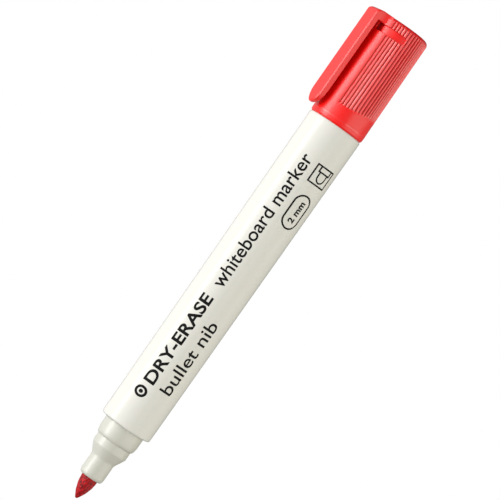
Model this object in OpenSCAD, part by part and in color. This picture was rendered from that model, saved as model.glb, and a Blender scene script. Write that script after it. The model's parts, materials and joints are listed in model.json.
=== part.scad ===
// Whiteboard marker with a bullet nib, cap posted on the rear end.
// The marker lies on its side: axis along X, writing tip towards +X, +Z up.
// The origin is on the axis, at the shoulder where the barrel's neck ends.

/* [Barrel] */
// Length of the full-width barrel, from its shoulder to its rear end
barrel_len = 90.3; // [80:0.1:110]
// Barrel diameter just behind the shoulder
barrel_front_d = 13.9; // [13.7:0.1:14.3]
// Barrel diameter at the rear end
barrel_rear_d = 14.4; // [14.0:0.1:14.6]
// Diameter of the bore that holds the ink reservoir
barrel_bore_d = 11.8; // [11.6:0.1:12]
// Diameter of the neck that the cap slides over
neck_d = 10.9; // [10.8:0.05:10.95]
// Straight part of the neck, in front of the shoulder
neck_straight = 2.35; // [1.5:0.05:4]
// Rounded front part of the neck
neck_round = 2.15; // [1:0.05:2.5]
// Bore of the neck, where the nozzle is pressed in
neck_bore_d = 8.4; // [7.6:0.1:8.6]
// Ribs along the bore that keep the reservoir centred
bore_ribs = 6; // [3:1:12]

/* [Nozzle and nib] */
// Straight front part of the nozzle
nozzle_len = 5.45; // [4:0.05:8]
// Diameter of the nozzle
nozzle_d = 6.5; // [6:0.1:7]
// Diameter of the nozzle's wide rear part
bell_d = 9.5; // [9:0.1:10]
// Half-angle of the cone between the two
bell_angle = 28; // [20:1:45]
// Straight part behind the cone
bell_straight = 2.2; // [1:0.1:4]
// Diameter of the nib
nib_d = 4.4; // [3.5:0.1:4.8]
// Length of the nib that stands out of the nozzle
nib_out = 6.1; // [4:0.1:8]
// Length of the nib inside the marker
nib_in = 28; // [24:0.5:32]
// Diameter of the nib's stem inside the reservoir
stem_d = 3.4; // [2.5:0.1:3.6]

/* [Reservoir] */
// Diameter of the fibre core
core_d = 11; // [10:0.1:11.2]
// Thickness of the film round the core
film_t = 0.2; // [0.1:0.05:0.3]
// Distance from the shoulder to the front of the core
core_start = 7; // [6:0.5:10]

/* [Cap] */
// Length of the cap
cap_len = 29.6; // [29:0.1:34]
// Diameter of the cap's body
cap_d = 14.2; // [14:0.1:14.8]
// Diameter of the bead round the rim
rim_d = 14.7; // [14.5:0.1:15.2]
// Bore of the cap's shell, which holds the inner cap
cap_bore_d = 12.4; // [12.2:0.1:12.6]
// Thickness of the shell's closed end
cap_end_t = 1.5; // [1:0.1:2]
// Number of fine grooves along the cap
grooves = 39; // [15:1:41]
// Depth of a groove
groove_depth = 0.34; // [0.1:0.01:0.4]
// Half of the smooth sector on each side of the clip
smooth_half = 45; // [35:1:60]
// Distance from the rim to the grooves
groove_start = 5.4; // [4:0.1:8]
// Width of the two windows along the cap, which the inner cap's pads snap into
window_w = 2.2; // [1.6:0.1:3]
// Angle from the clip at which each window starts
window_from = 15; // [12:1:30]
// Angle from the clip at which each window ends
window_to = 84; // [60:1:84]
// How far the posted cap can be pulled off the rear spigot, which is this long
spigot_len = 10.5; // [8:0.5:11]

/* [Clip] */
// Height of the clip's outer face above the marker's axis
clip_r = 9.64; // [9.5:0.02:10.5]
// Thickness of the clip
clip_t = 1.35; // [1:0.05:1.5]
// Width of the clip
clip_w = 5.75; // [5:0.05:6.5]
// Length of the clip's root block along the cap
clip_root = 2.5; // [2:0.1:3]
// Distance from the cap's rim to the clip's free end
clip_gap = 1.3; // [1:0.1:4]
// Length of the clip's tapered, half-elliptical free end
clip_point = 4.1; // [2.9:0.1:6]

/* [Hidden] */
$fn = 96;
over = 1;                                   // how far a cutting shape runs past what it cuts

// Places along X, from the tip backwards
bell_cone = (bell_d - nozzle_d) / 2 / tan(bell_angle);
neck_len = neck_straight + neck_round;
nozzle_back = neck_len;                     // the nozzle's flange sits on the neck here
bell_front = nozzle_back + bell_straight;
nozzle_front = bell_front + bell_cone + nozzle_len;
nib_tip = nozzle_front + nib_out;
barrel_end = -barrel_len;
core_end = barrel_end + 7.6;                // the reservoir stops on the plug
rim_x = barrel_end;
cap_end = rim_x - cap_len;
root_x = cap_end + clip_root;               // the clip leaves its root block here

// Radii
neck_r = neck_d / 2;
bore_r = barrel_bore_d / 2;
cap_r = cap_d / 2;
rim_r = rim_d / 2;
cap_bore_r = cap_bore_d / 2;
nib_r = nib_d / 2;
film_r = core_d / 2 + film_t;

// Details that follow the sizes above
shoulder_rise = 0.2;
corner_r = 0.5;
flange_r = 6.5;
flange_t = 0.8;
running_fit = 0.05;                         // radial clearance of the cap on neck and spigot
seal_r = nozzle_d / 2 + running_fit;
rim_round = 1.2;
rim_blend = 2;
end_fillet = 1.2;
groove_r = 0.35;
window_corner = 0.7;
pad_from = 24;                              // angle from the clip at which the inner cap's pads start
pad_recess = 0.45;                          // how far the pads lie below the cap's surface
pad_gap = 0.08;                             // between a pad and its window's edge
window_x = root_x + window_w / 2;
clip_edge = [0.4, 0.25];                    // bevel of the clip's outer edges: across, down
clip_curl = [5.6, 0.8];                     // upturned underside of the free end: along, up
flare_w = 8.8;                              // width of the root block where it meets the cap
clip_free = rim_x - clip_gap;

// The marker lies on the cap's rim and on the clip's side edge, which sets the clip's dip
edge_z = clip_r - clip_edge[1];
edge_r = sqrt(pow(edge_z, 2) + pow(clip_w / 2, 2));
clip_dip = asin(rim_r / edge_r) - atan2(clip_w / 2, edge_z);

// Points of an elliptical arc, as [radius, x]
function arc(c, rx, ry, from, to, n = 8) =
    [for (i = [0:n]) let (a = from + (to - from) * i / n) [c[0] + rx * cos(a), c[1] + ry * sin(a)]];

// Points of the arc that rounds the corner between the straight nozzle and the cone
function bell_fillet(r, n = 5) =
    let (x = bell_front + bell_cone + r * tan(bell_angle / 2), c = nozzle_d / 2 + r)
    [for (i = [0:n]) let (a = bell_angle * i / n) [c - r * cos(a), x - r * sin(a)]];

// Turns a profile given as [radius, x] round the marker's axis
module lathe(points) {
    rotate([0, 90, 0]) rotate_extrude() polygon(points);
}

// A plain round bar on the axis, from one x to another
module bar(r, from, to) {
    translate([from, 0, 0]) rotate([0, 90, 0]) cylinder(r = r, h = to - from);
}

// Turns what points up, +Z, to the clip's side of the cap
module clip_side() {
    rotate([90 + clip_dip, 0, 0]) children();
}

// Barrel with its neck: a slightly tapered tube, open at both ends
module barrel() {
    front_r = barrel_front_d / 2;
    rear_r = barrel_rear_d / 2;
    outer = concat(
        [[neck_bore_d / 2, neck_len]],
        arc([bell_d / 2, neck_straight], neck_r - bell_d / 2, neck_round, 90, 0),
        [[neck_r, 0]],
        arc([front_r - corner_r, -shoulder_rise - corner_r], corner_r, corner_r, 90, 0, 6),
        arc([rear_r - 0.3, barrel_end + 0.3], 0.3, 0.3, 0, -90, 4));
    inner = [
        [flange_r, barrel_end], [flange_r, barrel_end + flange_t], [bore_r, barrel_end + flange_t],
        [bore_r, -1.6], [neck_bore_d / 2, 0.6]];
    color("ivory") union() {
        lathe(concat(outer, inner));
        for (i = [0:bore_ribs - 1]) rotate([i * 360 / bore_ribs, 0, 0])
            translate([core_end, -0.4, film_r + 0.02])
                cube([-core_start - core_end, 0.8, bore_r - film_r]);
    }
}

// Nozzle: pressed into the neck, holds the nib, with air grooves along its bore
module nozzle() {
    bore_back = nozzle_front - 6;
    outer = concat(
        [[nib_r, nozzle_front]],
        arc([nozzle_d / 2 - 0.7, nozzle_front - 1.25], 0.7, 1.25, 90, 0),
        bell_fillet(2),
        [[bell_d / 2 - 0.1, bell_front + 0.1 / tan(bell_angle)], [bell_d / 2, bell_front - 0.2],
         [bell_d / 2, nozzle_back], [neck_bore_d / 2, nozzle_back], [neck_bore_d / 2, 0.7],
         [3.6, 0.2], [3.6, -5.4]]);
    inner = [[2.8, -5.4], [2.8, bore_back - 0.6], [nib_r, bore_back]];
    color("whitesmoke") difference() {
        lathe(concat(outer, inner));
        for (a = [45:90:315]) rotate([a, 0, 0])
            translate([bore_back - over, -0.3, nib_r - 0.3])
                cube([nozzle_front - bore_back + 2 * over, 0.6, 0.6]);
    }
}

// Nib: a bullet point, a body gripped by the nozzle, and a stem that enters the reservoir
module writing_nib() {
    length = nib_out + 0.35;                // of the sharp ogive, before its point is rounded
    ogive_r = (pow(nib_r, 2) + pow(length, 2)) / (2 * nib_r);
    blunt_r = 0.38;
    last = acos((ogive_r - nib_r + blunt_r) / ogive_r);
    last_x = nozzle_front + ogive_r * sin(last);
    body_back = nozzle_front - 11;
    stem_back = nozzle_front - nib_in;
    color("crimson") lathe(concat(
        [[0, stem_back], [stem_d / 2 - 0.8, stem_back], [stem_d / 2, stem_back + 2],
         [stem_d / 2, body_back - 0.5], [nib_r, body_back]],
        arc([nib_r - ogive_r, nozzle_front], ogive_r, ogive_r, 0, last, 12),
        arc([0, last_x], blunt_r, nib_tip - last_x, 0, 90, 4)));
}

// Fibre core that holds the ink, with a socket for the nib's stem
module ink_reservoir() {
    socket_end = nozzle_front - nib_in;
    color("darkred") difference() {
        bar(core_d / 2, core_end, -core_start);
        bar(stem_d / 2, socket_end, -core_start + over);
    }
}

// Film sleeve round the fibre core
module reservoir_film() {
    color("lightcyan") difference() {
        bar(film_r, core_end, -core_start);
        bar(core_d / 2, core_end - over, -core_start + over);
    }
}

// Rear plug: closes the barrel, and its spigot takes the posted cap
module rear_plug() {
    spigot_end = barrel_end - spigot_len;
    wall = 1.2;
    color("firebrick") lathe(concat(
        [[bore_r - wall, core_end], [bore_r - 0.4, core_end], [bore_r, core_end - 0.8],
         [bore_r, barrel_end + flange_t], [flange_r, barrel_end + flange_t],
         [flange_r, barrel_end], [neck_r, barrel_end]],
        arc([neck_r - 0.8, spigot_end + 0.8], 0.8, 0.8, 0, -90, 6),
        [[0, spigot_end], [0, spigot_end + wall], [neck_r - wall - 0.4, spigot_end + wall],
         [neck_r - wall, spigot_end + wall + 0.4], [neck_r - wall, barrel_end]]));
}

// Outline of the clip and its root block across the marker, as [y, z]
module clip_section(half, low) {
    top = half - clip_edge[0];
    polygon([[-top, clip_r], [top, clip_r], [half, edge_z], [half, low], [-half, low], [-half, edge_z]]);
}

// Root block of the clip, which grows out of the cap's closed end
module clip_block() {
    round_x = 1.6;
    round_z = 2.7;
    flare = (flare_w - clip_w) / 2;
    flare_top = clip_r - clip_t;
    flare_low = sqrt(pow(cap_r, 2) - pow(flare_w / 2, 2));
    intersection() {
        translate([cap_end, 0, 0]) rotate([90, 0, 90]) linear_extrude(clip_root) union() {
            clip_section(clip_w / 2, cap_bore_r);
            polygon(concat(
                [for (p = arc([flare_w / 2, flare_top], flare, flare_top - flare_low, 180, 270))
                    [p[0], p[1]]],
                [for (p = arc([-flare_w / 2, flare_top], flare, flare_top - flare_low, 270, 360))
                    [p[0], p[1]]]));
        }
        rotate([90, 0, 0]) linear_extrude(flare_w + 2 * over, center = true) polygon(concat(
            [[root_x + over, 0], [root_x + over, clip_r + over], [cap_end + round_x, clip_r + over]],
            arc([cap_end + round_x, clip_r - round_z], round_x, round_z, 90, 180),
            [[cap_end, 0]]));
    }
}

// Ring sector with rounded corners in each of the cap's windows, from an angle on and smaller by `gap`
module in_windows(from, inner, outer, gap = 0) {
    half = (window_to - from) / 2 - gap / cap_r * 180 / PI;
    full = half - window_corner / cap_r * 180 / PI;
    width = window_w - 2 * gap;
    flat = width / 2 - window_corner;
    for (side = [-1, 1])
        translate([window_x, 0, 0]) rotate([side * (from + window_to) / 2, 0, 0]) rotate([90, 0, 90]) {
            rotate([0, 0, 90 - full]) rotate_extrude(angle = 2 * full)
                translate([inner, -width / 2]) square([outer - inner, width]);
            rotate([0, 0, 90 - half]) rotate_extrude(angle = 2 * half)
                translate([inner, -flat]) square([outer - inner, 2 * flat]);
            for (a = [90 - full, 90 + full], z = [-flat, flat])
                rotate([0, 0, a]) translate([inner, 0, z]) rotate([0, 90, 0])
                    cylinder(r = window_corner, h = outer - inner, $fn = 24);
        }
}

// One groove along the cap, with a rounded run-out near the rim
module groove_cut() {
    front = rim_x - groove_start - groove_r;
    translate([0, 0, cap_r + groove_r - groove_depth]) {
        translate([cap_end - over, 0, 0]) rotate([0, 90, 0])
            cylinder(r = groove_r, h = front - cap_end + over, $fn = 16);
        translate([front, 0, 0]) sphere(r = groove_r, $fn = 16);
    }
}

// Cap shell: a cup with a beaded rim, fine grooves, two windows and the clip's root block
module cap_shell() {
    face_r = rim_r - 0.4;
    outer = concat(
        [[0, rim_x], [face_r, rim_x]],
        arc([face_r, rim_x - rim_round], rim_r - face_r, rim_round, 90, 0, 5),
        [for (i = [1:6]) let (t = i / 6)
            [cap_r + (rim_r - cap_r) * pow(1 - t, 2), rim_x - rim_round - rim_blend * t]],
        arc([cap_r - end_fillet, cap_end + end_fillet], end_fillet, end_fillet, 0, -90, 6),
        [[0, cap_end]]);
    step = (360 - 2 * smooth_half) / (grooves - 1);
    color("tomato") clip_side() difference() {
        union() {
            lathe(outer);
            clip_block();
        }
        bar(cap_bore_r, cap_end + cap_end_t, rim_x + over);
        in_windows(window_from, cap_bore_r - 0.1, cap_r + 0.5);
        for (i = [0:grooves - 1]) rotate([smooth_half + i * step, 0, 0]) groove_cut();
    }
}

// Inner cap: a liner that grips neck or spigot, with a lip that seals round the nozzle, and pads that
// hold it in the shell's windows
module inner_cap() {
    front = rim_x - 0.4;
    back = cap_end + cap_end_t;
    waist = back + 4.1;                     // narrower behind here
    grip_r = neck_r + running_fit;
    lip_x = rim_x - 11.6;
    waist_r = 5.9;
    end_t = 0.9;
    color("indianred") clip_side() {
        difference() {
            lathe([
                [grip_r + 0.3, front], [cap_bore_r, front], [cap_bore_r, waist], [waist_r, waist - 0.3],
                [waist_r, back], [0, back], [0, back + end_t], [5.1, back + end_t], [5.1, waist],
                [grip_r, waist + 0.8], [grip_r, lip_x - 1.4], [seal_r, lip_x - 0.8],
                [seal_r, lip_x - 0.4], [grip_r, lip_x], [grip_r, front - 0.4]]);
            for (a = [0:90:270]) rotate([a, 0, 0])
                translate([waist - 0.3, -1, cap_bore_r - 0.35])
                    cube([front - waist + over, 2, 1]);
        }
        in_windows(pad_from, waist_r - 0.2, cap_r - pad_recess, pad_gap);
    }
}

// Clip: a flat springy arm with a rounded, upturned free end
module pocket_clip() {
    half = clip_w / 2;
    low = clip_r - clip_t;
    tip_low = low + clip_curl[1];
    color("salmon") clip_side() intersection() {
        rotate([90, 0, 90]) translate([0, 0, root_x]) linear_extrude(clip_free - root_x)
            clip_section(half, low);
        rotate([90, 0, 0]) linear_extrude(clip_w + over, center = true) polygon(concat(
            [[root_x, low], [root_x, clip_r], [clip_free - 0.4, clip_r]],
            arc([clip_free - 0.4, clip_r - 0.3], 0.4, 0.3, 90, 0, 4),
            arc([clip_free - clip_curl[0], tip_low], clip_curl[0], clip_curl[1], 0, -90)));
        linear_extrude(clip_r + over) union() {
            translate([root_x, -half]) square([clip_free - clip_point - root_x, clip_w]);
            translate([clip_free - clip_point, 0]) polygon(arc([0, 0], clip_point, half, -90, 90, 24));
        }
    }
}

barrel();
nozzle();
writing_nib();
ink_reservoir();
reservoir_film();
rear_plug();
cap_shell();
inner_cap();
pocket_clip();
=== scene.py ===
"""Whiteboard marker, cap posted, lying on a white table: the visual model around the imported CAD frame.

Lengths are in millimetres until a mesh is made, and metres in Blender. The marker's axis is X, the tip
towards +X. Round pieces are described in the marker's own coordinates: x along the axis, a radius, and
an angle that is 0 on the clip's side and grows towards the side that the camera sees.
"""
import json
import math

import bpy
import bmesh
from mathutils import Matrix, Vector, noise


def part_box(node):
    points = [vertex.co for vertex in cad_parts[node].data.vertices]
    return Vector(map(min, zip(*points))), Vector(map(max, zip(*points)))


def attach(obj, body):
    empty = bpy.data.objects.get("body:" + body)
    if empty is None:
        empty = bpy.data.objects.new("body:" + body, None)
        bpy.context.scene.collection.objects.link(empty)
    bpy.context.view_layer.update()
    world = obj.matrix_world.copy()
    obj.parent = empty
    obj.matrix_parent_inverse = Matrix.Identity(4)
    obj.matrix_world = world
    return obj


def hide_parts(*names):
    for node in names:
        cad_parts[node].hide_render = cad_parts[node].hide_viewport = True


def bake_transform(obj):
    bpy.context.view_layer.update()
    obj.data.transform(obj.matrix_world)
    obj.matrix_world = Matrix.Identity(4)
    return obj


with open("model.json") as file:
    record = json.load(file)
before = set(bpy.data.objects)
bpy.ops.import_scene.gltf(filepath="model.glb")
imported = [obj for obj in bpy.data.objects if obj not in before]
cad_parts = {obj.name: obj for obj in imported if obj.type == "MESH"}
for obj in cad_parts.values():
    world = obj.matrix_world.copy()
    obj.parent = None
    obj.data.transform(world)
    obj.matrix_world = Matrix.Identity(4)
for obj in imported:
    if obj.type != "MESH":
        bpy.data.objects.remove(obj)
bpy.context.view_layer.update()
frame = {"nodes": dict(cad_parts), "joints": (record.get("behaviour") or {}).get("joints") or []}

MM = 0.001


def node_x(node):
    """Lowest and highest x of a CAD node, in millimetres."""
    low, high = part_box(node)
    return low.x / MM, high.x / MM


# ---------------------------------------------------------------- sizes, from the frame
joints = {j["name"]: j for j in frame["joints"]}
CLIP_PIVOT = Vector(joints["clip_flex"]["pos_m"]) / MM
CLIP_SIDE = Vector((0, CLIP_PIVOT.y, CLIP_PIVOT.z)).normalized()    # from the axis to the clip
SEEN_SIDE = CLIP_SIDE.cross(Vector((1, 0, 0)))                      # a quarter turn on from it
CLIP_DIP = math.degrees(math.asin(-CLIP_SIDE.z))

TIP_X = node_x("writing_nib")[1]
NOZZLE_X = node_x("nozzle")[1]
NECK_X = node_x("barrel")[1]
BARREL_END, RIM_X = node_x("barrel")[0], node_x("cap_shell")[1]
CAP_END = node_x("cap_shell")[0]
PLUG_BACK, PLUG_FRONT = node_x("rear_plug")
LINER_BACK, LINER_FRONT = node_x("inner_cap")
ROOT_X, CLIP_FREE = node_x("pocket_clip")

# Sizes that the frame's boxes do not give. The cap, the clip and the rear of the barrel are up to 0.3 mm
# fuller than their CAD nodes.
CLIP_R = math.hypot(CLIP_PIVOT.y, CLIP_PIVOT.z) + 0.26    # from the axis to the clip's outer face
RIM_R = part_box("cap_shell")[1].z / MM + 0.15              # the cap's bead
NECK_R, BELL_R, NOZZLE_R, NIB_R = 5.45, 4.75, 3.25, 2.2
BARREL_FRONT_R, BARREL_REAR_R, BORE_R, NECK_BORE_R = 6.96, 7.37, 5.9, 4.2
FLANGE_R, FLANGE_T = 6.5, 0.8               # the plug's flange, which sits in the barrel's rear end
CAP_R, CAP_TAPER = 7.2, 0.0095              # the cap's radius at its end, and what it gains per millimetre
CAP_BORE_R, LINER_WAIST_R, GRIP_R = 6.2, 5.9, 5.5    # in the cap: its bore, the inner cap's waist and bore
PAD_R, PAD_FROM = 6.72, 24                  # the inner cap's pads: their radius, degrees from the clip
CLIP_T, CLIP_W = 1.62, 6.05                 # the clip's thickness and width
TABLE_Z = -7.65                             # the clip's side edge lies on the table

# ---------------------------------------------------------------- geometry and shader helpers


def smoothstep(low, high, value):
    """0 below low, 1 above high, and an S-shaped rise between them."""
    t = min(max((value - low) / (high - low), 0), 1)
    return t * t * (3 - 2 * t)


def on_axis(x, radius, angle):
    """A point in metres, from x, radius and angle in millimetres and radians."""
    across = CLIP_SIDE * math.cos(angle) + SEEN_SIDE * math.sin(angle)
    return (Vector((x, 0, 0)) + across * radius) * MM


def arc(x, radius, x_size, r_size, start, end, steps=8):
    """Points (x, radius) on an ellipse; 0 degrees points outwards and 90 to the tip."""
    points = []
    for i in range(steps + 1):
        a = math.radians(start + (end - start) * i / steps)
        points.append((x + x_size * math.sin(a), radius + r_size * math.cos(a)))
    return points


def spread(start, end, steps):
    """Evenly spaced values from start to end, without the last one."""
    return [start + (end - start) * i / steps for i in range(steps)]


def mesh_object(name, points, faces, materials, sharp=35, face_material=None):
    """A smooth-shaded object from points in metres, with edges over `sharp` degrees kept crisp.
    face_material gives the number of a face's material from the face's centre in millimetres."""
    mesh = bpy.data.meshes.new(name)
    mesh.from_pydata([tuple(p) for p in points], [], faces)
    work = bmesh.new()
    work.from_mesh(mesh)
    bmesh.ops.remove_doubles(work, verts=work.verts, dist=1e-7)
    bmesh.ops.dissolve_degenerate(work, edges=work.edges, dist=1e-8)
    bmesh.ops.recalc_face_normals(work, faces=work.faces)
    work.to_mesh(mesh)
    work.free()
    for material in materials:
        mesh.materials.append(material)
    if face_material:
        for polygon in mesh.polygons:
            polygon.material_index = face_material(polygon.center / MM)
    mesh.shade_smooth()
    mesh.set_sharp_from_angle(angle=math.radians(sharp))
    piece = bpy.data.objects.new(name, mesh)
    bpy.context.collection.objects.link(piece)
    return piece


def grid_faces(rows, columns, first=0, keep=None):
    """Quads of a grid whose points were added row by row, and whose last column joins the first."""
    faces = []
    for i in range(rows - 1):
        for j in range(columns):
            if keep is None or keep(i, j):
                k = (j + 1) % columns
                faces.append((first + i * columns + j, first + i * columns + k,
                              first + (i + 1) * columns + k, first + (i + 1) * columns + j))
    return faces


def lathe(name, profile, materials, columns=160, radius=None, sharp=35, face_material=None):
    """Turns a closed profile of (x, radius) round the axis. radius(r, angle) may change a point's radius."""
    ring = list(profile)
    if ring[0][1] > 0 or ring[-1][1] > 0:
        ring.append(ring[0])                 # a hollow piece closes on itself
    points = []
    for x, r in ring:
        for j in range(columns):
            angle = 2 * math.pi * j / columns
            points.append(on_axis(x, radius(r, angle) if radius else r, angle))
    return mesh_object(name, points, grid_faces(len(ring), columns), materials, sharp, face_material)


def set_inputs(tree, node, inputs):
    """Gives each input of a shader node its value, or a link from another node's output."""
    for key, value in inputs.items():
        if isinstance(value, bpy.types.NodeSocket):
            tree.links.new(value, node.inputs[key])
        else:
            node.inputs[key].default_value = value


def add_node(tree, kind, inputs=None):
    """A new shader node with its inputs set."""
    node = tree.nodes.new(kind)
    set_inputs(tree, node, inputs or {})
    return node


def add_math(tree, operation, *values):
    """The output of a new maths node."""
    node = add_node(tree, "ShaderNodeMath", dict(enumerate(values)))
    node.operation = operation
    return node.outputs["Value"]


# ---------------------------------------------------------------- camera, floor and light
# The camera looks square at the axis, from above the clip's side, and is rolled so that the tip points
# to the lower left of the picture.
CAMERA_FROM_CLIP = 65.8                     # degrees round the axis from the clip to the camera
CAMERA_ROLL = 34.96                         # degrees between the axis and the picture's vertical
CAMERA_DISTANCE = 790
SENSOR_WIDTH = 36
VIEW_WIDTH = 122.85                         # what the picture spans at the axis
AIM_FROM_TIP, AIM_ACROSS = 74.4, 0.2        # the picture's middle, behind the tip and off the axis

rise = math.radians(CAMERA_FROM_CLIP - CLIP_DIP)
to_camera = Vector((0, -math.cos(rise), math.sin(rise)))
across_view = Vector((0, math.sin(rise), math.cos(rise)))
to_cap = Vector((-1, 0, 0))
roll = math.radians(CAMERA_ROLL)
picture_right = to_cap * math.sin(roll) + across_view * math.cos(roll)
picture_up = to_cap * math.cos(roll) - across_view * math.sin(roll)
aim = Vector((TIP_X - AIM_FROM_TIP, 0, 0)) + across_view * AIM_ACROSS

camera_data = bpy.data.cameras.new("camera")
camera_data.sensor_width = SENSOR_WIDTH
camera_data.lens = SENSOR_WIDTH * CAMERA_DISTANCE / VIEW_WIDTH
camera_data.clip_start = 0.01
camera = bpy.data.objects.new("camera", camera_data)
bpy.context.collection.objects.link(camera)
axes = Matrix((picture_right, picture_up, to_camera)).transposed().to_4x4()
camera.matrix_world = Matrix.Translation((aim + to_camera * CAMERA_DISTANCE) * MM) @ axes
bpy.context.scene.camera = camera
bpy.context.scene.view_settings.view_transform = "Standard"

FLOOR_HALF, SURROUND_R = 5000, 4000         # half the floor's side, and the radius of the surround's dome


def backdrop_piece(piece):
    """Something that only the camera sees, so that it neither lights nor shades the marker."""
    piece.visible_diffuse = piece.visible_glossy = piece.visible_transmission = False
    piece.visible_volume_scatter = piece.visible_shadow = False


def make_floor():
    """A plain white light table under the marker, and a white surround that meets it far away."""
    white = bpy.data.materials.new("light_table")
    white.use_nodes = True
    white.node_tree.nodes.clear()
    glow = add_node(white.node_tree, "ShaderNodeEmission", {"Color": (1, 1, 1, 1), "Strength": 1})
    add_node(white.node_tree, "ShaderNodeOutputMaterial", {"Surface": glow.outputs["Emission"]})
    signs = ((-1, -1), (1, -1), (1, 1), (-1, 1))
    corners = [Vector((x * FLOOR_HALF, y * FLOOR_HALF, TABLE_Z)) * MM for x, y in signs]
    backdrop_piece(mesh_object("floor", corners, [(0, 1, 2, 3)], [white]))
    rows, columns = 12, 32
    below_floor = 0.05                      # radians by which the surround starts under the floor
    points = []
    for i in range(rows + 1):
        lift = math.pi / 2 * i / rows - below_floor
        for j in range(columns):
            turn = 2 * math.pi * j / columns
            points.append(Vector((math.cos(lift) * math.cos(turn), math.cos(lift) * math.sin(turn),
                                  math.sin(lift))) * SURROUND_R * MM)
    backdrop_piece(mesh_object("surround", points, grid_faces(rows + 1, columns), [white]))


# Light round the marker's axis: degrees (0 level on the camera's side, 90 overhead) and strength. A large
# panel low on the clip's side and a weaker, warmer one overhead leave it dark round the camera and behind.
TENT = ((-180, 0.15), (-150, 0.1), (-125, 0.3), (-95, 0.5), (-66, 0.6), (-50, 1.1), (-40, 4.2), (-33, 5.0),
        (-26, 4.5), (-16, 1.4), (-4, 1.0), (10, 0.7), (22, 0.3), (62, 0.3), (65, 1.45), (80, 1.45),
        (122, 1.4), (136, 0.8), (150, 0.3), (180, 0.15))
TENT_PEAK = max(strength for degrees, strength in TENT)
TENT_GAIN = 1.43
TENT_ENDS = 0.12                            # share of the strength in what comes along the axis
TENT_FALL = (0.1, 0.5)                      # where it falls to that share: squared cosine to the axis
OVERHEAD_FROM = 30
OVERHEAD_TINT = (1, 0.985, 0.91)


def make_light_tent():
    """The only light: the world, whose strength follows TENT round the axis and falls off along it."""
    world = bpy.data.worlds.new("light_tent")
    bpy.context.scene.world = world
    world.use_nodes = True
    tree = world.node_tree
    direction = add_node(tree, "ShaderNodeTexCoord").outputs["Generated"]
    parts = add_node(tree, "ShaderNodeSeparateXYZ", {"Vector": direction}).outputs
    towards_camera = add_math(tree, "MULTIPLY", parts["Y"], -1)
    angle = add_math(tree, "ARCTAN2", parts["Z"], towards_camera)
    share = add_math(tree, "MULTIPLY_ADD", angle, 1 / (2 * math.pi), 0.5)
    ramp = add_node(tree, "ShaderNodeValToRGB", {"Fac": share})
    stops = ramp.color_ramp.elements
    while len(stops) < len(TENT):
        stops.new(0.5)
    for stop, (degrees, strength) in zip(stops, TENT):
        stop.position = (degrees + 180) / 360
        tint = OVERHEAD_TINT if degrees > OVERHEAD_FROM else (1, 1, 1)
        stop.color = (*(strength / TENT_PEAK * channel for channel in tint), 1)
    # The panels are no longer than the marker, so that what faces along the axis stays darker
    along = add_math(tree, "MULTIPLY", parts["X"], parts["X"])
    strength = TENT_PEAK * TENT_GAIN
    fall = add_node(tree, "ShaderNodeMapRange", {
        "Value": along, "From Min": TENT_FALL[0], "From Max": TENT_FALL[1],
        "To Min": strength, "To Max": strength * TENT_ENDS})
    set_inputs(tree, tree.nodes["Background"], {
        "Color": ramp.outputs["Color"], "Strength": fall.outputs["Result"]})


make_floor()
make_light_tent()

# ---------------------------------------------------------------- materials


def plastic(name, colour, shade, roughness, grain=0.02, subsurface=0.0, coat=0.0, specular=0.5):
    """Moulded plastic: colour drifting a little towards `shade`, uneven gloss and a fine moulding grain."""
    material = bpy.data.materials.new(name)
    material.use_nodes = True
    tree = material.node_tree
    place = add_node(tree, "ShaderNodeTexCoord").outputs["Object"]
    drift = add_node(tree, "ShaderNodeTexNoise", {"Vector": place, "Scale": 60, "Detail": 3})
    mix = tree.nodes.new("ShaderNodeMix")
    mix.data_type = "RGBA"
    set_inputs(tree, mix, {"Factor": drift.outputs["Fac"], "A": (*colour, 1), "B": (*shade, 1)})
    fine = add_node(tree, "ShaderNodeTexNoise", {"Vector": place, "Scale": 900, "Detail": 4})
    gloss = add_node(tree, "ShaderNodeMapRange", {
        "Value": fine.outputs["Fac"], "To Min": roughness[0], "To Max": roughness[1]})
    bump = add_node(tree, "ShaderNodeBump", {
        "Height": fine.outputs["Fac"], "Strength": grain, "Distance": 0.0001})
    set_inputs(tree, tree.nodes["Principled BSDF"], {
        "Base Color": mix.outputs["Result"],
        "Roughness": gloss.outputs["Result"],
        "Normal": bump.outputs["Normal"],
        "IOR": 1.5,
        "Specular IOR Level": specular,
        "Coat Weight": coat,
        "Coat Roughness": 0.08,
        "Subsurface Weight": subsurface,
        "Subsurface Radius": (0.0012, 0.0009, 0.0007)})
    return material


def felt_material(name, light, dark, scale, grain):
    """Bonded fibres soaked in ink: light and dark grains drawn out along the axis."""
    material = bpy.data.materials.new(name)
    material.use_nodes = True
    tree = material.node_tree
    place = add_node(tree, "ShaderNodeTexCoord").outputs["Object"]
    stretch = add_node(tree, "ShaderNodeMapping", {"Vector": place, "Scale": (0.6, 1, 1)})
    grains = add_node(tree, "ShaderNodeTexNoise", {
        "Vector": stretch.outputs["Vector"], "Scale": scale, "Detail": 6, "Roughness": 0.7})
    ramp = add_node(tree, "ShaderNodeValToRGB", {"Fac": grains.outputs["Fac"]})
    for stop, position, colour in zip(ramp.color_ramp.elements, (0.36, 0.66), (dark, light)):
        stop.position = position
        stop.color = (*colour, 1)
    bump = add_node(tree, "ShaderNodeBump", {
        "Height": grains.outputs["Fac"], "Strength": grain, "Distance": 0.0002})
    set_inputs(tree, tree.nodes["Principled BSDF"], {
        "Base Color": ramp.outputs["Color"],
        "Normal": bump.outputs["Normal"],
        "Roughness": 0.42,
        "Specular IOR Level": 0.25})
    return material


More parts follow.
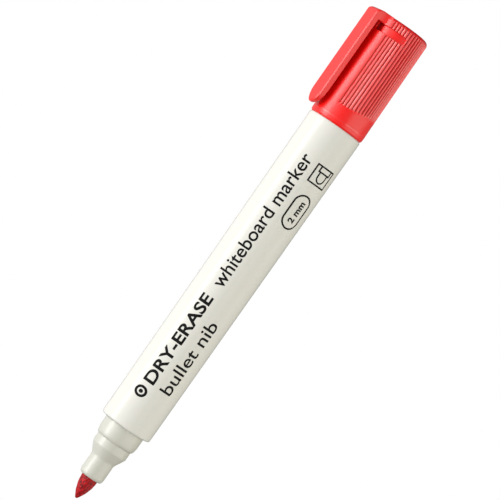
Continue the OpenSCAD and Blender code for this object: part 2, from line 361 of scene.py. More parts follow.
WHITE = plastic("barrel_plastic", (0.705, 0.70, 0.65), (0.69, 0.68, 0.63), (0.10, 0.15), 0.006, 0.08,
                specular=0.28)
GREY_WHITE = plastic("nozzle_plastic", (0.55, 0.55, 0.487), (0.53, 0.53, 0.467), (0.3, 0.38), 0.015, 0.04,
                     specular=0.8)
RED = plastic("cap_plastic", (0.88, 0.008, 0.006), (0.85, 0.006, 0.005), (0.26, 0.33), 0.01, 0.12,
              specular=0.55)
RIDGE_RED = plastic("ridge_plastic", (0.88, 0.008, 0.006), (0.84, 0.006, 0.005), (0.2, 0.26), 0.01, 0.03,
                    coat=0.45, specular=1.0)
# The grooves' floors: rougher, and a darker red that paints in the shade falling into the grooves
GROOVE_DULL_SHADED_RED = plastic("groove_dull_painted_shade", (0.58, 0.007, 0.006), (0.55, 0.006, 0.005), (0.35, 0.45), 0.01, 0.03,
                     specular=0.4)
CLIP_RED = plastic("clip_plastic", (0.88, 0.02, 0.018), (0.85, 0.017, 0.015), (0.28, 0.36), 0.04, 0.08,
                   specular=0.5)
LINER_RED = plastic("liner_plastic", (0.86, 0.011, 0.009), (0.82, 0.009, 0.007), (0.26, 0.32), 0.02, 0.03)
INK = plastic("print_black", (0.003, 0.003, 0.003), (0.006, 0.006, 0.006), (0.55, 0.7), specular=0.12)
NIB_RED = felt_material("nib_fibre", (0.66, 0.005, 0.011), (0.06, 0.0003, 0.0009), 2000, 1.0)
CORE_RED = felt_material("core_fibre", (0.6, 0.03, 0.04), (0.2, 0.004, 0.008), 1200, 0.6)
FILM = plastic("reservoir_film", (0.82, 0.86, 0.88), (0.78, 0.83, 0.86), (0.1, 0.2))

# ---------------------------------------------------------------- barrel, nozzle, nib, plug


def barrel_radius(x):
    """Outside radius of the tapered barrel."""
    return BARREL_FRONT_R + (BARREL_REAR_R - BARREL_FRONT_R) * x / BARREL_END


def make_barrel():
    """Tube with a neck whose front curves in to the nozzle; the neck has the nozzle's colour."""
    corner = 0.5                            # rounding of the barrel's two ends
    set_back = 0.2                          # how far the shoulder's face leans back towards its edge
    neck_straight = 2.35
    crease = 0.06                           # where neck and shoulder meet
    neck_front = arc(neck_straight, BELL_R, NECK_X - neck_straight, NECK_R - BELL_R, 90, 0, 14)
    shoulder = arc(-set_back - corner, BARREL_FRONT_R - corner, corner, corner, 90, 0, 10)
    rear = arc(BARREL_END + corner, BARREL_REAR_R - corner, corner, corner, 0, -90, 8)
    inside = [(BARREL_END, FLANGE_R), (BARREL_END + FLANGE_T, FLANGE_R), (BARREL_END + FLANGE_T, BORE_R),
              (-1.6, BORE_R), (0.6, NECK_BORE_R)]
    middle = [(x, barrel_radius(x)) for x in spread(-1.2, BARREL_END + 1, 24)[1:]]
    profile = [(NECK_X, NECK_BORE_R)] + neck_front + [(crease, NECK_R), (0, NECK_R + crease)] + shoulder
    profile += middle + rear + inside
    return lathe("barrel_tube", profile, [WHITE, GREY_WHITE], 192,
                 face_material=lambda centre: 1 if centre.x > crease / 3 else 0)


def make_nozzle():
    """Tip holder: a bell, a cone that runs hollow into the front cylinder, and an insert in the neck."""
    cone, fillet = math.radians(28), 2
    bell_front = NECK_X + 2.2
    insert_r, insert_bore_r, insert_back = 3.6, 2.8, -5.4
    bore_r, bore_back = NIB_R + 0.02, NOZZLE_X - 6
    vent_depth, vent_half = 0.28, 7         # air grooves beside the nib: depth, half their width in degrees
    bell_length = (BELL_R - NOZZLE_R) / math.tan(cone)
    corner_x = bell_front + bell_length
    back = corner_x + fillet * math.tan(cone / 2)
    round_x, round_r = 1.25, 0.7
    front = arc(NOZZLE_X - round_x, NOZZLE_R - round_r, round_x, round_r, 90, 0, 12)
    hollow = [(back - fillet * math.sin(a), NOZZLE_R + fillet - fillet * math.cos(a))
              for a in spread(0, cone, 8) + [cone]]
    crest = [(bell_front + 0.12, BELL_R - 0.06), (bell_front, BELL_R - 0.015), (bell_front - 0.15, BELL_R)]
    flange = [(NECK_X + 0.12, BELL_R), (NECK_X + 0.03, BELL_R - 0.04), (NECK_X, BELL_R - 0.12)]
    insert = [(NECK_X, NECK_BORE_R), (0.7, NECK_BORE_R), (0.2, insert_r), (insert_back, insert_r),
              (insert_back, insert_bore_r)]
    bore = [(bore_back - 0.6, insert_bore_r), (bore_back, bore_r), (NOZZLE_X - 0.1, bore_r)]
    profile = [(NOZZLE_X, NIB_R + 0.1)] + front + hollow + crest + flange + insert + bore

    def vents(r, angle):
        from_vent = abs((math.degrees(angle) + 45) % 90 - 45)
        in_bore = r < NIB_R + 0.2
        return r + vent_depth if in_bore and from_vent < vent_half else r

    return lathe("nozzle_tip_holder", profile, [GREY_WHITE], 180, vents)


def make_nib():
    """Bullet point of bonded fibre, its surface roughened by fine grains."""
    blunt, cut = 0.38, 0.35                 # the point's rounding, and how much that shortens the ogive
    stem_r, stem_front = 1.7, NOZZLE_X - 11
    length = TIP_X - NOZZLE_X + cut
    ogive = (NIB_R ** 2 + length ** 2) / (2 * NIB_R)
    last = math.acos((ogive - NIB_R + blunt) / ogive)
    last_x = NOZZLE_X + ogive * math.sin(last)
    low = node_x("writing_nib")[0]
    profile = [(low, 0), (low, 0.9), (low + 2, stem_r), (stem_front - 0.5, stem_r), (stem_front, NIB_R)]
    profile += [(x, NIB_R) for x in spread(NOZZLE_X - 2, NOZZLE_X, 10)]
    profile += [(NOZZLE_X + ogive * math.sin(a), NIB_R - ogive + ogive * math.cos(a))
                for a in spread(0, last, 70)]
    profile += [(last_x + (TIP_X - last_x) * math.sin(a), blunt * math.cos(a))
                for a in spread(0, math.pi / 2, 10)] + [(TIP_X, 0)]
    piece = lathe("nib_felt", profile, [NIB_RED], 200, sharp=80)
    grain_scale, grain_height, grain_sink = 2.6, 0.075, 0.05
    for vertex in piece.data.vertices:
        x = vertex.co.x / MM
        radial = Vector((0, vertex.co.y, vertex.co.z))
        shown = smoothstep(NOZZLE_X - 0.1, NOZZLE_X + 0.4, x)
        if radial.length < 1e-7 or shown == 0:
            continue
        place = Vector((vertex.co.x * 0.7, vertex.co.y, vertex.co.z)) / MM
        grain = noise.fractal(place * grain_scale, 0.8, 2.1, 4)
        vertex.co += radial.normalized() * MM * shown * (grain_height * grain - grain_sink)
    return piece


def make_plug():
    """Rear plug: a stopper in the bore, a flange in the barrel's end and a spigot for the posted cap."""
    wall, corner, edge, fillet = 1.2, 0.8, 0.1, 0.4
    inside_r, inside_back = NECK_R - wall, PLUG_BACK + wall
    profile = [(PLUG_FRONT, BORE_R - wall), (PLUG_FRONT, BORE_R - 0.4), (PLUG_FRONT - 0.8, BORE_R),
               (BARREL_END + FLANGE_T, BORE_R), (BARREL_END + FLANGE_T, FLANGE_R),
               (BARREL_END + edge, FLANGE_R), (BARREL_END, FLANGE_R - edge), (BARREL_END, NECK_R)]
    profile += arc(PLUG_BACK + corner, NECK_R - corner, corner, corner, 0, -90, 8)
    profile += [(PLUG_BACK, 0), (inside_back, 0), (inside_back, inside_r - fillet),
                (inside_back + fillet, inside_r), (BARREL_END, inside_r)]
    return lathe("rear_plug_red", profile, [RED], 160)


# ---------------------------------------------------------------- cap
GROOVES, GROOVE_DEPTH, SMOOTH_HALF = 39, 0.3, 45
RIDGE_ROUND = 0.2                           # rounded share of the pitch on each side of a ridge's top
GROOVE_DULL_SHADED_FLOOR = 0.19                         # a groove's dull floor, painted darker as shade, as a share of the pitch from its middle
GROOVE_PITCH = (360 - 2 * SMOOTH_HALF) / (GROOVES - 1)
GROOVE_START = 4.75                         # behind the rim
RUNOUT_SHORT, RUNOUT_LONG = 0.5, 2.4        # length over which the grooves fade in, near the clip and away
RUNOUT_TURN = (60, 115)                     # degrees from the clip between which it changes
WINDOW_FROM, WINDOW_TO = 10, 84             # degrees from the clip, on both sides of it
WINDOW_TURN = (WINDOW_FROM + WINDOW_TO) / 2
WINDOW_BACK, WINDOW_FRONT = ROOT_X, ROOT_X + 2.2
WINDOW_X = (WINDOW_BACK + WINDOW_FRONT) / 2
WINDOW_CORNER = 0.7
WINDOW_CORE = ((WINDOW_FRONT - WINDOW_BACK) / 2 - WINDOW_CORNER,
               math.radians(WINDOW_TO - WINDOW_FROM) / 2 * CAP_R - WINDOW_CORNER)
WINDOW_BEVEL = 0.12
LEAN, LEAN_TO = 5, 50                       # degrees that the wall next to the clip leans in, and its reach
RIM_ROUND, RIM_BLEND = 1.45, 1.9            # from the mouth to the bead's crest, and on to the body
RIM_CORNER, RIM_DROP, RIM_CONE = 0.6, 0.5, 0.09    # rounded corner at the mouth, slope up to the crest
END_FILLET = 1.2                            # rounding of the closed end
RIM_CREST = 0.09                            # half the width of the crest's glossy line


def signed(angle):
    """The same angle in degrees, between -180 and 180."""
    return (angle + 180) % 360 - 180


def cap_base_radius(x):
    """Radius of the cap without its grooves: bead at the rim, tapered body, rounded end."""
    behind = RIM_X - x
    ahead = x - CAP_END
    body = CAP_R + CAP_TAPER * ahead
    if behind < RIM_ROUND:
        t = max(0, 1 - behind / RIM_CORNER)
        return RIM_R - RIM_CONE * (1 - behind / RIM_ROUND) - RIM_DROP * (1 - math.sqrt(max(0, 1 - t * t)))
    if behind < RIM_ROUND + RIM_BLEND:
        t = (behind - RIM_ROUND) / RIM_BLEND
        return body + (RIM_R - body) * (1 - t) ** 2
    if ahead < END_FILLET:
        t = 1 - ahead / END_FILLET
        return body - END_FILLET * (1 - math.sqrt(max(0, 1 - t * t)))
    return body


def groove_share(t):
    """Share of a groove's depth, a share t of the pitch from its middle: straight flanks, round ridges."""
    flank = 0.5 - RIDGE_ROUND / 2
    if t > 0.5 - RIDGE_ROUND:
        return (0.5 - t) ** 2 / (2 * RIDGE_ROUND * flank)
    return 1 - t / flank


def from_groove(angle):
    """Distance from the middle of the nearest groove, as a share of the pitch."""
    along = (angle % 360 - SMOOTH_HALF) / GROOVE_PITCH
    nearest = min(max(round(along), 0), GROOVES - 1)
    return abs(along - nearest)


def groove_fade(x, angle):
    """How much of their depth the grooves have reached at x: they run out softly towards the rim."""
    longer = smoothstep(*RUNOUT_TURN, abs(signed(angle)))
    runout = RUNOUT_SHORT + (RUNOUT_LONG - RUNOUT_SHORT) * longer
    return smoothstep(GROOVE_START, GROOVE_START + runout, RIM_X - x)


def cap_radius(x, angle):
    """Outside radius of the cap at x and an angle in degrees from the clip."""
    base = cap_base_radius(x)
    valley = groove_share(min(from_groove(angle), 0.5))
    depth = GROOVE_DEPTH * valley * groove_fade(x, angle)
    body = CAP_R + CAP_TAPER * (x - CAP_END)
    return min(base, body - depth) if depth > 0 else base


def cap_angles():
    """The mesh's columns in degrees, dense over the grooves, with the windows' ends among them."""
    per_groove, per_smooth_side = 14, 24
    smooth = SMOOTH_HALF - GROOVE_PITCH / 2
    angles = spread(0, smooth, per_smooth_side) + spread(smooth, 360 - smooth, GROOVES * per_groove)
    angles += spread(360 - smooth, 360, per_smooth_side)
    for end in (WINDOW_FROM, WINDOW_TO, 360 - WINDOW_TO, 360 - WINDOW_FROM):
        nearest = min(range(len(angles)), key=lambda i: abs(angles[i] - end))
        angles[nearest] = end
    return angles


def window_place(x, angle):
    """A point of the cap as millimetres along and across from the nearer window's middle, and its side."""
    turn = signed(angle)
    return x - WINDOW_X, math.radians(abs(turn) - WINDOW_TURN) * CAP_R, math.copysign(1, turn)


def cap_place(along, across, side):
    """The opposite of window_place."""
    return WINDOW_X + along, side * (WINDOW_TURN + math.degrees(across / CAP_R)) % 360


def round_corners(x, angle):
    """Draws mesh points near the windows' corners onto their rounded outline, less so further out."""
    reach = 2.4
    along, across, side = window_place(x, angle)
    away = (abs(along) - WINDOW_CORE[0], abs(across) - WINDOW_CORE[1])
    square = max(away)
    if min(away) <= 0:
        return x, angle
    ratio = square / math.hypot(*away)
    factor = ratio + (1 - ratio) * smoothstep(1, reach, square / WINDOW_CORNER)
    along = math.copysign(WINDOW_CORE[0] + away[0] * factor, along)
    across = math.copysign(WINDOW_CORE[1] + away[1] * factor, across)
    return cap_place(along, across, side)


def into_window(x, angle, depth):
    """Moves a point of a window's outline inwards, square to the outline."""
    along, across, side = window_place(x, angle)
    near_x = min(max(along, -WINDOW_CORE[0]), WINDOW_CORE[0])
    near_y = min(max(across, -WINDOW_CORE[1]), WINDOW_CORE[1])
    inwards = Vector((near_x - along, near_y - across))
    if inwards.length > 0:
        inwards = inwards.normalized() * depth
    return cap_place(along + inwards.x, across + inwards.y, side)


def lean(angle):
    """The bore's angle under an angle of the outer surface: the windows reach in under the clip."""
    turn = signed(angle)
    share = min(abs(turn) / WINDOW_FROM, 1) - smoothstep(WINDOW_FROM, LEAN_TO, abs(turn))
    return (turn - math.copysign(LEAN * share, turn)) % 360


def make_cap_shell():
    """Cup with a beaded rim, fine grooves and two windows that flank the clip."""
    angles = cap_angles()
    columns = len(angles)
    end_wall, mouth_bevel = 1.5, 0.25
    points, faces = [], []

    def add_ring(x, radius):
        points.extend(on_axis(x, radius, math.radians(a)) for a in angles)

    def in_window(j):
        """Whether the grid's column of faces j lies between a window's ends."""
        middle = (angles[j] + (angles[j + 1] if j + 1 < columns else 360)) / 2
        return WINDOW_FROM < abs(signed(middle)) < WINDOW_TO

    # Outer surface, from the rim to the closed end
    groove_end = GROOVE_START + RUNOUT_LONG
    rows = [RIM_X - RIM_CORNER * (1 - math.cos(a)) for a in spread(0, math.pi / 2, 9)]
    rows += spread(RIM_X - RIM_CORNER, RIM_X - RIM_ROUND + RIM_CREST, 3)
    rows += [RIM_X - RIM_ROUND + RIM_CREST, RIM_X - RIM_ROUND, RIM_X - RIM_ROUND - RIM_CREST]
    rows += spread(RIM_X - RIM_ROUND - RIM_CREST, RIM_X - RIM_ROUND - RIM_BLEND, 8)[1:]
    rows += spread(RIM_X - RIM_ROUND - RIM_BLEND, RIM_X - GROOVE_START, 3)
    rows += spread(RIM_X - GROOVE_START, RIM_X - groove_end, 18)
    rows += spread(RIM_X - groove_end, WINDOW_FRONT + 1.2, 14)
    rows += spread(WINDOW_FRONT + 1.2, WINDOW_FRONT, 8)
    first_hole = len(rows)
    rows += spread(WINDOW_FRONT, WINDOW_BACK, 16)
    last_hole = len(rows)
    rows += spread(WINDOW_BACK, CAP_END + END_FILLET, 8)
    rows += [CAP_END + END_FILLET * (1 - math.sin(a)) for a in spread(0, math.pi / 2, 10)] + [CAP_END]
    places = [round_corners(x, angle) for x in rows for angle in angles]
    points += [on_axis(x, cap_radius(x, angle), math.radians(angle)) for x, angle in places]
    faces += grid_faces(len(rows), columns,
                        keep=lambda i, j: not (first_hole <= i < last_hole and in_window(j)))

    # The flat end closes with shrinking rings of (depth, radius) round a shallow gate mark
    first = len(points) - columns
    end_rings = [(0, 5.4), (0, 4), (0, 2), (0, 0.7), (0.03, 0.66), (0.05, 0.6), (0.05, 0)]
    for depth, radius in end_rings:
        add_ring(CAP_END + depth, radius)
    faces += grid_faces(len(end_rings) + 1, columns, first)

    # The mouth turns in, and the bore runs back to the closed end
    bore_start = len(points)
    add_ring(RIM_X, CAP_BORE_R + mouth_bevel)
    faces += [(j, (j + 1) % columns, bore_start + (j + 1) % columns, bore_start + j)
              for j in range(columns)]
    bore_rows = [RIM_X - mouth_bevel] + spread(RIM_X - 1, WINDOW_FRONT + 0.6, 6) + [WINDOW_FRONT + 0.6]
    bore_hole = len(bore_rows) + 1
    bore_rows += rows[first_hole:last_hole + 1] + [CAP_END + end_wall]
    for x in bore_rows:
        for px, angle in (round_corners(x, a) for a in angles):
            points.append(on_axis(px, CAP_BORE_R, math.radians(lean(angle))))
    steps = last_hole - first_hole
    faces += grid_faces(len(bore_rows) + 1, columns, bore_start,
                        keep=lambda i, j: not (bore_hole <= i < bore_hole + steps and in_window(j)))
    closing = len(points)
    points.append(on_axis(CAP_END + end_wall, 0, 0))
    last = closing - columns
    faces += [(last + j, last + (j + 1) % columns, closing) for j in range(columns)]

    # Each window's wall: round its outline, over a small bevel, down to the bore
    for start, end in ((WINDOW_FROM, WINDOW_TO), (360 - WINDOW_TO, 360 - WINDOW_FROM)):
        a, b = angles.index(start), angles.index(end)
        outline = [(0, j) for j in range(a, b + 1)] + [(i, b) for i in range(1, steps)]
        outline += [(steps, j) for j in range(b, a - 1, -1)] + [(i, a) for i in range(steps - 1, 0, -1)]
        rings = [[(first_hole + i) * columns + j for i, j in outline]]
        for bend in spread(0, math.pi / 2, 4)[1:] + [math.pi / 2]:
            ring = []
            for index in rings[0]:
                x, angle = into_window(*places[index], WINDOW_BEVEL * math.sin(bend))
                radius = cap_radius(*places[index]) - WINDOW_BEVEL * (1 - math.cos(bend))
                ring.append(len(points))
                points.append(on_axis(x, radius, math.radians(angle)))
            rings.append(ring)
        ring = []
        for (i, j), index in zip(outline, rings[0]):
            x, angle = into_window(*places[index], WINDOW_BEVEL)
            bore_index = bore_start + (bore_hole + i) * columns + j
            points[bore_index] = on_axis(x, CAP_BORE_R, math.radians(lean(angle)))
            ring.append(bore_index)
        rings.append(ring)
        count = len(outline)
        for upper, lower in zip(rings, rings[1:]):
            faces += [(upper[j], upper[(j + 1) % count], lower[(j + 1) % count], lower[j])
                      for j in range(count)]

    def material(centre):
        """The bead's crest and the ridges' tops are polished; the grooves' floors are duller, and a darker
        red as painted shade.
        """
        turn = math.degrees(math.atan2(centre.dot(SEEN_SIDE), centre.dot(CLIP_SIDE)))
        outside = math.hypot(centre.y, centre.z) > CAP_BORE_R + 0.3 and centre.x > CAP_END + 0.05
        if outside and abs(RIM_X - centre.x - RIM_ROUND) < RIM_CREST:
            return 1
        if not outside or from_groove(turn) > 0.5 or groove_fade(centre.x, turn) < 0.5:
            return 0
        # groove floors get the duller material with the painted shade
        return 2 if from_groove(turn) < GROOVE_DULL_SHADED_FLOOR else 1

    return mesh_object("cap_shell_red", points, faces, [RED, RIDGE_RED, GROOVE_DULL_SHADED_RED], 50, material)


def liner_pad(side):
    """Points and faces of a pad of the inner cap, which fills most of a window."""
    gap, bevel, low = 0.08, 0.1, LINER_WAIST_R - 0.2
    to_edge = math.radians(WINDOW_TO - PAD_FROM) / 2 * CAP_R - gap
    half_width = (WINDOW_FRONT - WINDOW_BACK) / 2 - gap
    middle = (PAD_FROM + WINDOW_TO) / 2
    ends = [to_edge - WINDOW_CORNER * (1 - math.sin(a)) for a in spread(0, math.pi / 2, 8)]
    rows = [-y for y in reversed(ends)]
    rows += spread(WINDOW_CORNER - to_edge, to_edge - WINDOW_CORNER, 40)[1:] + ends
    points = []
    for across in rows:
        into_corner = max(0, abs(across) - to_edge + WINDOW_CORNER)
        half = half_width - WINDOW_CORNER + math.sqrt(WINDOW_CORNER ** 2 - into_corner ** 2)
        top = PAD_R - edge_drop(to_edge - abs(across), bevel)
        section = [(half - bevel + bevel * math.sin(a), top - bevel + bevel * math.cos(a))
                   for a in spread(math.pi / 2, 0, 5)]
        section = [(half, low)] + section + [(t * (half - bevel), top) for t in (0.9, 0.6, 0.3, 0)]
        section += [(-along, r) for along, r in reversed(section[:-1])]
        angle = math.radians(middle) + across / CAP_R
        points += [on_axis(WINDOW_X + along, r, side * angle) for along, r in section]
    columns = len(points) // len(rows)
    faces = grid_faces(len(rows), columns)
    faces += [tuple(range(columns)), tuple(range(len(points) - columns, len(points)))]
    return points, faces


def make_liner():
    """Inner cap: its pads show in the windows, its mouth when the cap is off."""
    hair = 0.01                             # keeps the faces off those of the cap's shell
    back, outer = LINER_BACK + hair, CAP_BORE_R - hair
    floor, inner = LINER_BACK + 0.9, 5.1
    waist = LINER_BACK + 4.1
    lip = RIM_X - 11.6
    seal = NOZZLE_R + 0.05
    profile = [(LINER_FRONT, GRIP_R + 0.3), (LINER_FRONT, outer), (waist, outer),
               (waist - 0.3, LINER_WAIST_R), (back, LINER_WAIST_R), (back, 0),
               (floor, 0), (floor, inner), (waist, inner), (waist + 0.8, GRIP_R),
               (lip - 1.4, GRIP_R), (lip - 0.8, seal), (lip - 0.4, seal), (lip, GRIP_R),
               (LINER_FRONT - 0.4, GRIP_R)]
    piece = lathe("inner_cap_red", profile, [LINER_RED], 160)
    work = bmesh.new()
    work.from_mesh(piece.data)
    for side in (-1, 1):
        pad = mesh_object("pad", *liner_pad(side), [LINER_RED], 50)
        work.from_mesh(pad.data)
        bpy.data.meshes.remove(pad.data)
    work.to_mesh(piece.data)
    work.free()
    return piece


# ---------------------------------------------------------------- clip
# Its points are (x, z), with z the height over the axis on the clip's side.
CLIP_EDGE, CLIP_EDGE_DOWN = 0.4, 0.25       # bevel of its outer edges
CLIP_EDGE_SOFT = 0.06                       # rounding where the bevel meets the face
CLIP_UNDER_EDGE = 0.12                      # rounding of its inner edges
CLIP_POINT = 4.1                            # length of the half-elliptical free end
CLIP_CURL = (5.6, 0.8)                      # upturned underside of the free end: along, up
CLIP_CORNER = (1.3, 2.4)                    # rounding of the corner above the cap's end
CLIP_FILLET = 0.3                           # between the underside and the root block
CLIP_LOW = CLIP_R - CLIP_T
FLARE_HALF, FLARE_LOW = 4.5, 5.6            # the root block's foot: half its width, height over the axis


def clip_half_width(x, z):
    """Half the clip's width: a tapered free end, parallel sides, and a root that flares to the cap."""
    half = CLIP_W / 2
    into_point = (x - CLIP_FREE + CLIP_POINT) / CLIP_POINT
    if into_point > 0:
        return half * math.sqrt(max(0, 1 - into_point ** 2))
    if z < CLIP_LOW:
        t = min(1, (CLIP_LOW - z) / (CLIP_LOW - FLARE_LOW))
        return half + (FLARE_HALF - half) * (1 - math.sqrt(1 - t * t))
    return half


def clip_edge_distance(x, y, half):
    """Distance from a point of the clip's face to the face's edge."""
    into_point = (x - CLIP_FREE + CLIP_POINT) / CLIP_POINT
    if into_point <= 0:
        return half - abs(y)
    across = y / (CLIP_W / 2)
    level = math.hypot(into_point, across)
    slope = math.hypot(into_point / CLIP_POINT, across / (CLIP_W / 2)) / level
    return (1 - level) / slope


def edge_drop(distance, size):
    """How far a rounded edge of radius `size` falls below its face, at a distance from the edge."""
    if distance >= size:
        return 0
    return size - math.sqrt(max(0, size ** 2 - (size - max(distance, 0)) ** 2))


def bevel_drop(distance):
    """How far the bevel of an outer edge falls below the face, at a distance from the edge."""
    into = CLIP_EDGE - max(distance, 0)
    slope = CLIP_EDGE_DOWN / CLIP_EDGE
    if into <= -CLIP_EDGE_SOFT:
        return 0
    if into < CLIP_EDGE_SOFT:
        return slope * (into + CLIP_EDGE_SOFT) ** 2 / (4 * CLIP_EDGE_SOFT)
    return slope * into


def clip_stations():
    """Pairs of outer and inner points (x, z), from the free end along the arm and down the root block."""
    xs = [CLIP_FREE - CLIP_POINT * (1 - math.cos(a)) for a in spread(0.02, math.pi / 2, 22)]
    xs += spread(CLIP_FREE - CLIP_POINT, CLIP_FREE - CLIP_CURL[0], 4)
    xs += spread(CLIP_FREE - CLIP_CURL[0], ROOT_X + CLIP_FILLET, 14)
    stations = []
    for x in xs:
        t = min(1, max(0, (x - CLIP_FREE) / CLIP_CURL[0] + 1))
        stations.append(((x, CLIP_R), (x, CLIP_LOW + CLIP_CURL[1] * (1 - math.sqrt(1 - t * t)))))
    for a in spread(0, math.pi / 2, 14):
        outer = (CAP_END + CLIP_CORNER[0] * (1 - math.sin(a)), CLIP_R - CLIP_CORNER[1] * (1 - math.cos(a)))
        inner = (ROOT_X + CLIP_FILLET * (1 - math.sin(a)), CLIP_LOW - CLIP_FILLET * (1 - math.cos(a)))
        stations.append((outer, inner))
    for z in spread(CLIP_R - CLIP_CORNER[1], FLARE_LOW, 9) + [FLARE_LOW]:
        stations.append(((CAP_END, z), (ROOT_X, min(z, CLIP_LOW - CLIP_FILLET))))
    return stations


def make_clip():
    """Flat springy arm with a tapered free end, bent into the root block on the cap's closed end."""
    # Columns of the mesh, dense at the bevel
    from_edge = (0, 0.1, 0.2, 0.3, 0.35, 0.4, 0.45, 0.55, 0.75, 1.1, 1.6, 2.2)
    fractions = [1 - 2 * distance / CLIP_W for distance in from_edge]
    fractions = [-f for f in fractions] + [0] + fractions[::-1]
    side_steps = 7
    stations = clip_stations()
    points = []

    def add_face(place, half, normal, drop):
        for f in fractions:
            p = Vector(place) - normal * drop(clip_edge_distance(place[0], f * half, half))
            points.append((Vector((p.x, 0, 0)) + CLIP_SIDE * p.y + SEEN_SIDE * (f * half)) * MM)

    def add_side(outer, inner, normal, widths, sign):
        top = Vector(outer) - normal * CLIP_EDGE_DOWN
        bottom = Vector(inner) + normal * CLIP_UNDER_EDGE
        for k in range(1, side_steps):
            t = k / side_steps if sign > 0 else 1 - k / side_steps
            p = top.lerp(bottom, t)
            y = sign * (widths[0] + (widths[1] - widths[0]) * t)
            points.append((Vector((p.x, 0, 0)) + CLIP_SIDE * p.y + SEEN_SIDE * y) * MM)

    for outer, inner in stations:
        normal = (Vector(outer) - Vector(inner)).normalized()
        widths = clip_half_width(*outer), clip_half_width(*inner)
        add_face(outer, widths[0], normal, bevel_drop)
        add_side(outer, inner, normal, widths, 1)
        fractions.reverse()
        add_face(inner, widths[1], -normal, lambda distance: edge_drop(distance, CLIP_UNDER_EDGE))
        add_side(outer, inner, normal, widths, -1)
        fractions.reverse()
    columns = len(points) // len(stations)
    faces = grid_faces(len(stations), columns)
    faces.append(tuple(range(columns)))
    faces.append(tuple(range(len(points) - columns, len(points))))
    return mesh_object("pocket_clip_red", points, faces, [CLIP_RED], 42)


# ---------------------------------------------------------------- print on the barrel
PRINT_LIFT, PRINT_DEPTH = 0.02, 0.03        # the ink's top over the barrel, and its thickness
PRINT_STRIP = 0.3                           # the ink bends round the barrel in strips of this height
PRINT_MIDDLE = 65.8                         # the middle of the printed side, in degrees from the clip


def wrap_on_barrel(name, flat, from_tip, angle):
    """Bends a flat mesh, x to the right and y up in millimetres, onto the barrel, and makes it a piece.
    Its origin goes to from_tip millimetres behind the tip and to an angle in degrees from the clip."""
    work = bmesh.new()
    work.from_mesh(flat)
    heights = [v.co.y for v in work.verts]
    y = math.floor(min(heights) / PRINT_STRIP) * PRINT_STRIP
    while y < max(heights):
        everything = work.verts[:] + work.edges[:] + work.faces[:]
        bmesh.ops.bisect_plane(work, geom=everything, plane_co=(0, y, 0), plane_no=(0, 1, 0))
        y += PRINT_STRIP
    for v in work.verts:
        x = TIP_X - from_tip - v.co.x
        r = barrel_radius(x) + PRINT_LIFT + min(0, v.co.z) * PRINT_DEPTH
        v.co = on_axis(x, r, math.radians(angle) - v.co.y / r)
    mesh = bpy.data.meshes.new(name)
    work.to_mesh(mesh)
    work.free()
    mesh.materials.append(INK)
    piece = bpy.data.objects.new(name, mesh)
    bpy.context.collection.objects.link(piece)
    return piece


def text_mesh(body, length, height, weight):
    """Generic lettering as a flat solid one unit deep. `height` is that of capitals or ascenders, and
    `weight` thickens the strokes, as a share of the type size."""
    curve = bpy.data.curves.new("lettering", "FONT")
    curve.body = body
    curve.offset = weight
    curve.extrude = 0.5
    curve.resolution_u = 6
    letters = bpy.data.objects.new("lettering", curve)
    bpy.context.collection.objects.link(letters)
    depsgraph = bpy.context.evaluated_depsgraph_get()
    mesh = bpy.data.meshes.new_from_object(letters.evaluated_get(depsgraph))
    bpy.data.objects.remove(letters)
    xs = [v.co.x for v in mesh.vertices]
    ys = [v.co.y for v in mesh.vertices]
    left = min(xs)
    scale_x = length / (max(xs) - left)
    scale_y = height / max(ys)
    for v in mesh.vertices:
        v.co = Vector(((v.co.x - left) * scale_x, v.co.y * scale_y, v.co.z - curve.extrude))
    return mesh


def outline_mesh(outer, inner=None):
    """A flat solid between two outlines of (x, y) points, or inside one, one unit deep."""
    mesh = bpy.data.meshes.new("outline")
    work = bmesh.new()
    loops = [[[work.verts.new((x, y, z)) for x, y in loop] for z in (0, -1)]
             for loop in (outer, inner) if loop]
    n = len(outer)
    for top, bottom in loops:
        for i in range(n):
            k = (i + 1) % n
            work.faces.new((top[i], top[k], bottom[k], bottom[i]))
    for level in (0, 1):
        if inner:
            a, b = loops[0][level], loops[1][level]
            for i in range(n):
                k = (i + 1) % n
                work.faces.new((a[i], a[k], b[k], b[i]))
        else:
            work.faces.new(loops[0][level])
    bmesh.ops.recalc_face_normals(work, faces=work.faces)
    work.to_mesh(mesh)
    work.free()
    return mesh


def ellipse(x, y, rx, ry, steps=72):
    """Points of an ellipse round (x, y)."""
    return [(x + rx * math.cos(2 * math.pi * i / steps), y + ry * math.sin(2 * math.pi * i / steps))
            for i in range(steps)]


def capsule(x, y, half_length, radius):
    """Points of a bar with round ends, round (x, y)."""
    return [(x + px + math.copysign(half_length - radius, px), y + py)
            for px, py in ellipse(0, 0, radius, radius)]


def stroke(path, width):
    """Outline of a line of even width along a path of (x, y) points."""
    left, right = [], []
    for i, p in enumerate(path):
        before = Vector(path[max(i - 1, 0)])
        after = Vector(path[min(i + 1, len(path) - 1)])
        point = Vector(p)
        a = (point - before).normalized() if i else (after - point).normalized()
        b = (after - point).normalized() if i < len(path) - 1 else a
        normal = Vector((-(a + b).y, (a + b).x)).normalized()
        reach = width / 2 / max(0.3, normal.dot(Vector((-a.y, a.x))))
        left.append(tuple(point + normal * reach))
        right.append(tuple(point - normal * reach))
    return left + right[::-1]


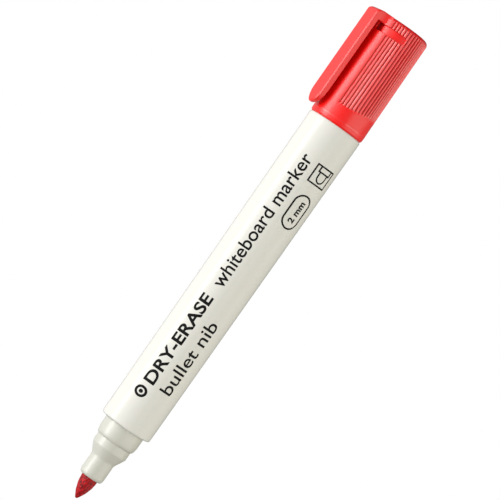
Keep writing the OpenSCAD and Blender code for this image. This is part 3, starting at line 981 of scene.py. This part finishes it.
def make_print():
    """Generic print: a ring with a dot, plain words, a size badge and a nib sign."""
    line_start, ring_start, title_turn = 33.8, 29.56, -2
    ring = outline_mesh(ellipse(1.5, 1.75, 1.5, 1.7), ellipse(1.5, 1.75, 0.85, 1.02))
    dot = outline_mesh(ellipse(1.5, 1.75, 0.5, 0.56, 36))
    badge = outline_mesh(capsule(4.85, 2.6, 4.85, 2.6), capsule(4.85, 2.6, 4.4, 2.15))
    # Name, mesh, millimetres behind the tip, degrees from the middle of the printed side
    prints = (("print_title", text_mesh("DRY-ERASE", 25.85, 3.15, 0.025), line_start, title_turn),
              ("print_description", text_mesh("whiteboard marker", 38.85, 3.4, 0.011), 62.65, 0.4),
              ("print_nib_name", text_mesh("bullet nib", 20.9, 3.43, 0.008), line_start, 40.9),
              ("print_ring", ring, ring_start, title_turn),
              ("print_dot", dot, ring_start, title_turn),
              ("print_badge", badge, 83.5, 56),
              ("print_badge_size", text_mesh("2 mm", 5.9, 1.8, 0.035), 85.4, 42.4))
    pieces = [wrap_on_barrel(name, flat, from_tip, PRINT_MIDDLE + turn)
              for name, flat, from_tip, turn in prints]
    return pieces + make_nib_sign(96.25, PRINT_MIDDLE + 60)


def make_nib_sign(from_tip, angle):
    """A square frame with the side view of a bullet nib in its holder."""
    wide, high, line = 5.2, 5.9, 0.4
    middle = high / 2 - 0.1
    nib_half, nib_round, nib_point = 1.2, 2.2, 1.3      # half width, where the point starts, its length
    holder_half, holder_x = 1.7, 3.55
    right, top = wide - line, high - line
    frame_outer = [(0, 0), (wide, 0), (wide, high), (0, high)]
    frame_inner = [(line, line), (right, line), (right, top), (line, top)]
    bullet = [(3.5, middle + nib_half), (nib_round, middle + nib_half)]
    bullet += [(nib_round - nib_point * math.sin(a), middle + nib_half * math.cos(a))
               for a in spread(0, math.pi, 14)[1:]]
    bullet += [(nib_round, middle - nib_half), (3.5, middle - nib_half)]
    holder = [(right, middle + holder_half), (holder_x, middle + holder_half),
              (holder_x, middle - holder_half), (right, middle - holder_half)]
    parts = [outline_mesh(frame_outer, frame_inner), outline_mesh(stroke(bullet, line)),
             outline_mesh(stroke(holder, line))]
    return [wrap_on_barrel(f"print_nib_sign_{i + 1}", part, from_tip, angle)
            for i, part in enumerate(parts)]


# ---------------------------------------------------------------- assembly
barrel = make_barrel()
nozzle = make_nozzle()
nib = make_nib()
plug = make_plug()
cap_shell = make_cap_shell()
liner = make_liner()
clip = make_clip()

for piece, node, body, slot in (
        (barrel, "barrel", "marker_body", "barrel_white"),
        (nozzle, "nozzle", "marker_body", "nozzle_white"),
        (nib, "writing_nib", "marker_body", "nib_fibre"),
        (plug, "rear_plug", "marker_body", "plug_red"),
        (cap_shell, "cap_shell", "cap", "cap_red"),
        (liner, "inner_cap", "cap", "liner_red")):
    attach(piece, body)
    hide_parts(node)

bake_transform(clip)
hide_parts("pocket_clip")

for piece in make_print():
    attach(piece, "marker_body")

for node, material in (("ink_reservoir", CORE_RED), ("reservoir_film", FILM)):
    for material_slot in frame["nodes"][node].material_slots:
        material_slot.material = material
